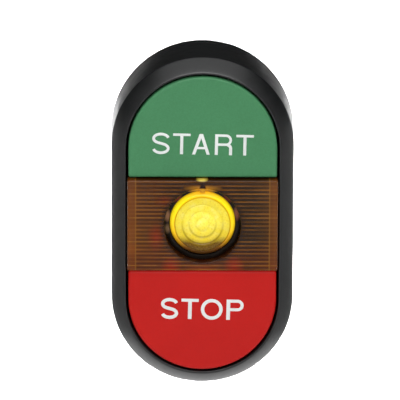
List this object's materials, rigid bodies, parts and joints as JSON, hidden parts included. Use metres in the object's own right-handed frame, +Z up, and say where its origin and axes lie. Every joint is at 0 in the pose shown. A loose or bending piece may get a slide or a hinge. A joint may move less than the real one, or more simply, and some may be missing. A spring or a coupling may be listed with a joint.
{
  "type": "illuminated double pushbutton",
  "caption": "Oval control-panel pushbutton head with a green and a red button either side of a lit amber lens, on a 22 mm threaded neck that holds its contacts and lamp.",
  "frame": {"origin": "on the neck's axis, in the plane of the panel's front face", "axes": "+Y along the neck, into the panel; +Z up, towards the green button; +X to the right as seen from the front"},
  "size_m": [0.0304, 0.0538, 0.056],
  "materials": {
    "black_plastic": "fine moulded grain, satin",
    "gasket_rubber": "matt moulded rubber",
    "green_plastic": "satin moulded plastic",
    "red_plastic": "satin moulded plastic",
    "white_plastic": "satin moulded plastic",
    "amber_lens": "clear moulded lens, ribbed behind",
    "yellow_lens": "clear lens with rings on its face",
    "lamp_lens": "moulded lamp, glossy",
    "spring_steel": "drawn wire",
    "zinc_steel": "zinc plated",
    "grey_base_plastic": "satin moulded plastic",
    "contact_copper": "rolled copper strip with silver tips",
    "terminal_brass": "bent brass strip",
    "circuit_board": "solder-masked board"
  },
  "bodies": {
    "housing": {"bezel": "black_plastic", "operator_body": "black_plastic", "panel_gasket": "gasket_rubber", "plunger_seal": "gasket_rubber", "light_shroud": "black_plastic", "indicator_lens": "amber_lens", "lens_dome": "yellow_lens", "start_return_spring": "spring_steel", "stop_return_spring": "spring_steel", "terminal_base": "grey_base_plastic", "start_fixed_contacts": "terminal_brass", "stop_fixed_contacts": "terminal_brass", "stop_contact_spring": "spring_steel", "indicator_lamp": "lamp_lens", "lamp_circuit_board": "circuit_board", "lamp_terminals": "terminal_brass"},
    "start_pusher": {"start_button": "green_plastic", "start_legend": "white_plastic", "start_plunger": "black_plastic"},
    "stop_pusher": {"stop_button": "red_plastic", "stop_legend": "white_plastic", "stop_plunger": "black_plastic"},
    "start_bridge": {"start_contact_bridge": "contact_copper", "start_contact_spring": "spring_steel"},
    "stop_bridge": {"stop_contact_bridge": "contact_copper"},
    "washer": {"thrust_washer": "zinc_steel"},
    "nut": {"mounting_nut": "black_plastic"}
  },
  "joints": [
    {"name": "start_press", "type": "slide", "parent": "housing", "child": "start_pusher", "axis": [0, 1, 0], "range_m": [0, 0.004], "stiffness_N_per_m": 500, "springref_m": -0.003, "deforming": ["start_return_spring", "start_contact_spring"]},
    {"name": "stop_press", "type": "slide", "parent": "housing", "child": "stop_pusher", "axis": [0, 1, 0], "range_m": [0, 0.004], "stiffness_N_per_m": 500, "springref_m": -0.003, "deforming": ["stop_return_spring", "stop_contact_spring"]},
    {"name": "start_bridge_slide", "type": "slide", "parent": "housing", "child": "start_bridge", "axis": [0, 1, 0], "range_m": [0, 0.0024]},
    {"name": "stop_bridge_slide", "type": "slide", "parent": "housing", "child": "stop_bridge", "axis": [0, 1, 0], "range_m": [0, 0.003]},
    {"name": "washer_slide", "type": "slide", "parent": "housing", "child": "washer", "axis": [0, 1, 0], "range_m": [-0.003, 0.0018]},
    {"name": "nut_turn", "type": "hinge", "parent": "washer", "child": "nut", "pos_m": [0, 0.0072, 0], "axis": [0, 1, 0], "range_deg": [-720, 432]}
  ],
  "couplings": [
    {"joint": "start_bridge_slide", "follows": "start_press", "ratio": 0.6},
    {"joint": "stop_bridge_slide", "follows": "stop_press", "ratio": 0.75},
    {"joint": "washer_slide", "follows": "nut_turn", "m_per_rad": 0.00023873}
  ]
}
